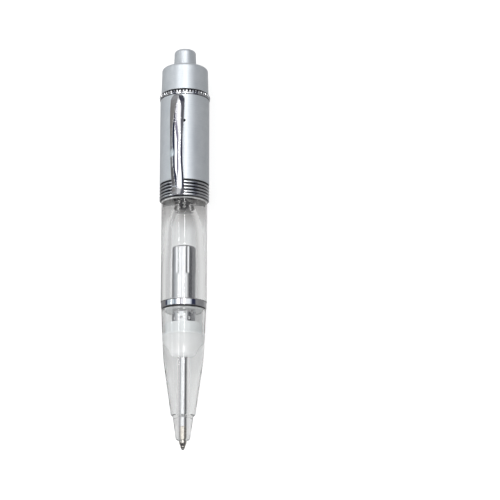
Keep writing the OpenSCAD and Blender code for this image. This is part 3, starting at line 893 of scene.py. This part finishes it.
def stage_floor():
    me = bpy.data.meshes.new("floor")
    w = 3.0
    me.from_pydata([(-w, -w, 0), (w, -w, 0), (w, w, 0), (-w, w, 0)], [], [(0, 1, 2, 3)])
    ob = bpy.data.objects.new("floor", me)
    ob.location.z = -0.00003
    scene.collection.objects.link(ob)
    mat = bpy.data.materials.new("floor")
    mat.use_nodes = True
    t = mat.node_tree
    t.nodes.clear()
    new, link = t.nodes.new, t.links.new
    out = new("ShaderNodeOutputMaterial")
    lp = new("ShaderNodeLightPath")

    def glow(v):
        n = new("ShaderNodeEmission")
        n.inputs["Color"].default_value = (*v, 1)
        return n.outputs[0]

    def mix(f, a, b):
        n = new("ShaderNodeMixShader")
        link(f, n.inputs["Fac"])
        link(a, n.inputs[1])
        link(b, n.inputs[2])
        return n.outputs[0]

    def above(v, limit):
        n = new("ShaderNodeMath")
        n.operation = "GREATER_THAN"
        n.inputs[1].default_value = limit
        link(v, n.inputs[0])
        return n.outputs[0]

    paper = new("ShaderNodeBsdfDiffuse")
    paper.inputs["Color"].default_value = (0.3, 0.3, 0.3, 1)
    seen = new("ShaderNodeAddShader")
    link(paper.outputs[0], seen.inputs[0])
    link(glow((0.80, 0.80, 0.80)), seen.inputs[1])
    co, sp = new("ShaderNodeTexCoord"), new("ShaderNodeSeparateXYZ")
    link(co.outputs["Object"], sp.inputs[0])
    side = new("ShaderNodeMath")
    side.operation = "ABSOLUTE"
    link(sp.outputs["X"], side.inputs[0])
    # painted light: seen in reflections or through clear plastic, the floor glows with a brightness chosen for each
    # kind of ray, and in reflections it glows brighter near the pen's axis than further out
    far = new("ShaderNodeMapRange")
    far.inputs["From Min"].default_value = 0.009
    far.inputs["From Max"].default_value = 0.020
    link(side.outputs[0], far.inputs["Value"])
    mirror = above(lp.outputs["Glossy Depth"], 0.5)
    sheet = new("ShaderNodeBsdfDiffuse")
    sheet.inputs["Color"].default_value = (0.50, 0.497, 0.492, 1)
    below = new("ShaderNodeAddShader")
    link(sheet.outputs[0], below.inputs[0])
    link(glow((0.27, 0.27, 0.27)), below.inputs[1])
    other = mix(lp.outputs["Is Transmission Ray"], glow((0.60, 0.60, 0.60)), below.outputs[0])
    metal = mix(far.outputs[0], glow((0.42, 0.42, 0.42)), glow((0.22, 0.22, 0.225)))
    pale = mix(far.outputs[0], glow((0.76, 0.76, 0.755)), glow((0.58, 0.58, 0.58)))
    inside = mix(above(lp.outputs["Transmission Depth"], 3.5), pale, metal)
    other = mix(mirror, other, mix(above(lp.outputs["Transmission Depth"], 0.5), metal, inside))
    link(mix(lp.outputs["Is Camera Ray"], other, seen.outputs[0]), out.inputs["Surface"])
    me.materials.append(mat)
    return ob


stage_floor()


def studio():
    """A soft studio dome. It depends on the angle round the pen and on how far along the pen a ray leans."""
    w = bpy.data.worlds.new("studio")
    scene.world = w
    w.use_nodes = True
    t = w.node_tree
    t.nodes.clear()
    new, link = t.nodes.new, t.links.new

    def calc(op, a, b):
        n = new("ShaderNodeMath")
        n.operation = op
        for i, v in enumerate((a, b)):
            if isinstance(v, (int, float)):
                n.inputs[i].default_value = v
            else:
                link(v, n.inputs[i])
        return n.outputs[0]

    def step(v, a, b, lo=0.0, hi=1.0):
        n = new("ShaderNodeMapRange")
        n.interpolation_type = "SMOOTHSTEP"
        for k, x in zip(("From Min", "From Max", "To Min", "To Max"), (a, b, lo, hi)):
            n.inputs[k].default_value = x
        link(v, n.inputs["Value"])
        return n.outputs["Result"]

    def ramp(fac, stops):
        n = new("ShaderNodeValToRGB")
        e = n.color_ramp.elements
        while len(e) < len(stops):
            e.new(0.5)
        for el, (p, c) in zip(e, stops):
            el.position = (p + 180) / 360
            el.color = (*c, 1)
        link(fac, n.inputs[0])
        return n.outputs[0]

    def blend(fac, a, b):
        n = new("ShaderNodeMix")
        n.data_type = "RGBA"
        link(fac, n.inputs["Factor"])
        for s, v in (("A", a), ("B", b)):
            sock = next(x for x in n.inputs if x.name == s and x.type == "RGBA")
            if isinstance(v, tuple):
                sock.default_value = (*v, 1)
            else:
                link(v, sock)
        return next(x for x in n.outputs if x.type == "RGBA")

    co, sp = new("ShaderNodeTexCoord"), new("ShaderNodeSeparateXYZ")
    link(co.outputs["Generated"], sp.inputs[0])
    around = calc("ARCTAN2", sp.outputs["X"], sp.outputs["Z"])
    mr = new("ShaderNodeMapRange")
    mr.inputs["From Min"].default_value = math.radians(-180) + VIEW
    mr.inputs["From Max"].default_value = math.radians(180) + VIEW
    link(around, mr.inputs["Value"])
    around = mr.outputs[0]
    lean = sp.outputs["Y"]

    navy, cool, white, hot = (0.030, 0.034, 0.065), (0.55, 0.62, 0.67), (1.05, 1.06, 1.08), (1.36, 1.38, 1.40)
    wing = [(31, (0.85, 0.88, 0.92)), (38, (0.42, 0.46, 0.53)), (43, navy), (58, navy), (66, (0.25, 0.25, 0.26)), (150, (0.21, 0.21, 0.215)), (180, (0.18, 0.18, 0.18))]
    lines = [(-19, white), (-17.5, (0.50, 0.49, 0.56)), (-14, (0.50, 0.49, 0.56)), (-12, white), (-5, white), (-3.8, (0.40, 0.38, 0.50)),
             (-1.2, (0.40, 0.38, 0.50)), (0.5, white)]
    middle = [(-180, (0.20, 0.20, 0.20)), (-113, (0.24, 0.25, 0.26)), (-107, navy), (-95, navy), (-87, cool), (-53, (0.64, 0.71, 0.76)),
              (-48, (0.30, 0.36, 0.42)), (-42, (0.36, 0.42, 0.48)), (-36, white)] + lines + wing
    crown = [(-56.5, navy), (-44.5, navy), (-40.5, white), (-19, white), (-17.7, (0.25, 0.23, 0.31)), (-14, (0.25, 0.23, 0.31)), (-12.5, white),
             (-9, hot), (9, hot), (20, white)] + wing
    broad = [(-180, (0.20, 0.20, 0.20)), (-131, (0.24, 0.24, 0.25)), (-113, (0.32, 0.34, 0.35)), (-98, (0.66, 0.72, 0.76)), (-87, (0.86, 0.94, 1.00)),
             (-84.5, (0.18, 0.18, 0.185)), (-70, (0.21, 0.21, 0.215)), (-68, (0.86, 0.94, 1.00)), (-60, (0.86, 0.94, 1.00))] + crown
    dim = [(31, (0.85, 0.88, 0.92)), (38, (0.36, 0.37, 0.40)), (43, (0.12, 0.12, 0.14)), (58, (0.12, 0.12, 0.14)), (66, (0.25, 0.25, 0.26)), (150, (0.21, 0.21, 0.215)), (180, (0.18, 0.18, 0.18))]
    upper = [(-180, (0.20, 0.20, 0.20)), (-131, (0.18, 0.18, 0.185)), (-100, (0.18, 0.18, 0.185)), (-84, (0.21, 0.205, 0.20)), (-60, (0.30, 0.295, 0.29))] + [(x, white if c is hot else c) for x, c in crown[:-7]] + dim
    lower = [(-180, (0.17, 0.17, 0.17)), (-131, (0.14, 0.14, 0.14)), (-105, (0.12, 0.12, 0.125)), (-60, (0.14, 0.14, 0.145))] + crown
    near = calc("MULTIPLY", step(lean, 0.185, 0.20), step(lean, 0.235, 0.25, 1.0, 0.0))
    dome = blend(near, ramp(around, broad), ramp(around, middle))
    dome = blend(step(lean, 0.305, 0.345), dome, ramp(around, upper))
    dome = blend(step(lean, 0.12, 0.05), dome, ramp(around, lower))
    high = ramp(around, [(-180, (0.20, 0.20, 0.20)), (-120, (0.30, 0.30, 0.31)), (-22, (0.34, 0.35, 0.37)), (-16, (0.60, 0.61, 0.62)), (8, (0.60, 0.61, 0.62)), (16, (0.26, 0.26, 0.27)),
                         (40, navy), (90, (0.12, 0.12, 0.13)), (180, (0.20, 0.20, 0.20))])
    dome = blend(step(lean, 0.54, 0.64), dome, high)
    dome = blend(step(lean, 0.93, 0.97), dome, (0.05, 0.05, 0.06))
    dome = blend(step(lean, -0.25, -0.55), dome, (0.035, 0.036, 0.05))
    lp = new("ShaderNodeLightPath")
    soft_sky = blend(step(sp.outputs["X"], -0.7, 0.7), blend(step(sp.outputs["Z"], -0.2, 0.6), (0.60, 0.60, 0.60), (1.35, 1.36, 1.37)), blend(step(sp.outputs["Z"], -0.2, 0.6), (0.34, 0.34, 0.34), (0.64, 0.64, 0.64)))
    straight = blend(lp.outputs["Is Transmission Ray"], soft_sky, (0.86, 0.86, 0.86))
    # rays turned back inside clear plastic see the pale room; those from metal behind it see a plainer dome
    inner = ramp(around, [(-180, (0.30, 0.30, 0.30)), (-125, (0.30, 0.30, 0.31)), (-112, (0.20, 0.20, 0.21)), (-100, (0.24, 0.24, 0.25)), (-88, (0.50, 0.51, 0.53)),
                          (-66, (0.62, 0.63, 0.64)), (-52, (1.1, 1.1, 1.1)), (-24, (1.3, 1.3, 1.3)), (-19, (0.70, 0.70, 0.71)), (-13, (1.3, 1.3, 1.3)),
                          (-2, (1.3, 1.3, 1.3)), (2, (0.70, 0.70, 0.71)), (8, (0.95, 0.95, 0.95)), (24, (0.95, 0.95, 0.95)), (36, (0.40, 0.40, 0.41)),
                          (48, (0.06, 0.06, 0.07)), (80, (0.09, 0.09, 0.09)), (110, (0.22, 0.21, 0.20)), (180, (0.30, 0.30, 0.30))])
    pale = ramp(around, [(-180, (0.70, 0.70, 0.70)), (-120, (0.75, 0.75, 0.75)), (-80, (0.58, 0.58, 0.585)), (-34, (0.58, 0.58, 0.58)), (-22, (0.28, 0.28, 0.285)), (22, (0.28, 0.28, 0.28)), (34, (0.48, 0.47, 0.46)), (80, (0.44, 0.43, 0.42)),
                         (120, (0.72, 0.715, 0.71)), (180, (0.70, 0.70, 0.70))])
    depth = lp.outputs["Transmission Depth"]
    turned_back = blend(calc("GREATER_THAN", depth, 0.5), dome, blend(calc("MULTIPLY", calc("GREATER_THAN", depth, 3.5), step(lean, 0.04, 0.10)), pale, inner))
    seen = blend(calc("GREATER_THAN", lp.outputs["Glossy Depth"], 0.5), straight, turned_back)
    seen = blend(lp.outputs["Is Camera Ray"], seen, (1.0, 1.0, 1.0))
    bg, out = new("ShaderNodeBackground"), new("ShaderNodeOutputWorld")
    link(seen, bg.inputs["Color"])
    link(bg.outputs[0], out.inputs["Surface"])


studio()


def strip_light(name, angle, wide, power):
    """A narrow soft box along the pen, this many degrees round it from straight above, towards +X."""
    d = bpy.data.lights.new(name, "AREA")
    d.shape, d.size, d.size_y, d.energy = "RECTANGLE", wide, 0.75, power
    a = math.radians(angle)
    loc = Vector((math.sin(a), 0.25, math.cos(a)))
    z = loc.normalized()
    y = (Vector((0, 1, 0)) - z * z.y).normalized()
    m = Matrix((y.cross(z), y, z)).transposed().to_4x4()
    m.translation = loc
    ob = bpy.data.objects.new(name, d)
    ob.matrix_world = m
    ob.visible_transmission = False
    scene.collection.objects.link(ob)


strip_light("key", 17.2, 0.035, 1.6)
strip_light("second", -11.4, 0.035, 0.9)
strip_light("third", -51.4, 0.035, 0.25)

cam_data = bpy.data.cameras.new("camera")
cam = bpy.data.objects.new("camera", cam_data)
scene.collection.objects.link(cam)
cam_data.sensor_width = 36.0
cam_data.lens = 36.0 * FOCAL / 500.0
cam_data.clip_start, cam_data.clip_end = 0.01, 20.0
out_dir = Vector((math.sin(VIEW), 0, math.cos(VIEW)))
along = Vector((0, 1, 0))
look = along * math.sin(TILT) - out_dir * math.cos(TILT)
up = along * math.cos(TILT) + out_dir * math.sin(TILT)
right = look.cross(up)
turn, roll = math.atan(65.95 / FOCAL), math.radians(0.36)
look, right = look * math.cos(turn) + right * math.sin(turn), right * math.cos(turn) - look * math.sin(turn)
right, up = right * math.cos(roll) + up * math.sin(roll), up * math.cos(roll) - right * math.sin(roll)
pos = (out_dir * HIGH + along * (BACK - LEN / 2)) * MM + Vector((0, 0, AXIS * MM))
m = Matrix((right, up, -look)).transposed().to_4x4()
m.translation = pos
cam.matrix_world = m
scene.camera = cam

scene.cycles.max_bounces, scene.cycles.glossy_bounces, scene.cycles.transmission_bounces = 24, 12, 16
scene.view_settings.view_transform = "Standard"
scene.view_settings.look = "None"

bpy.context.view_layer.update()
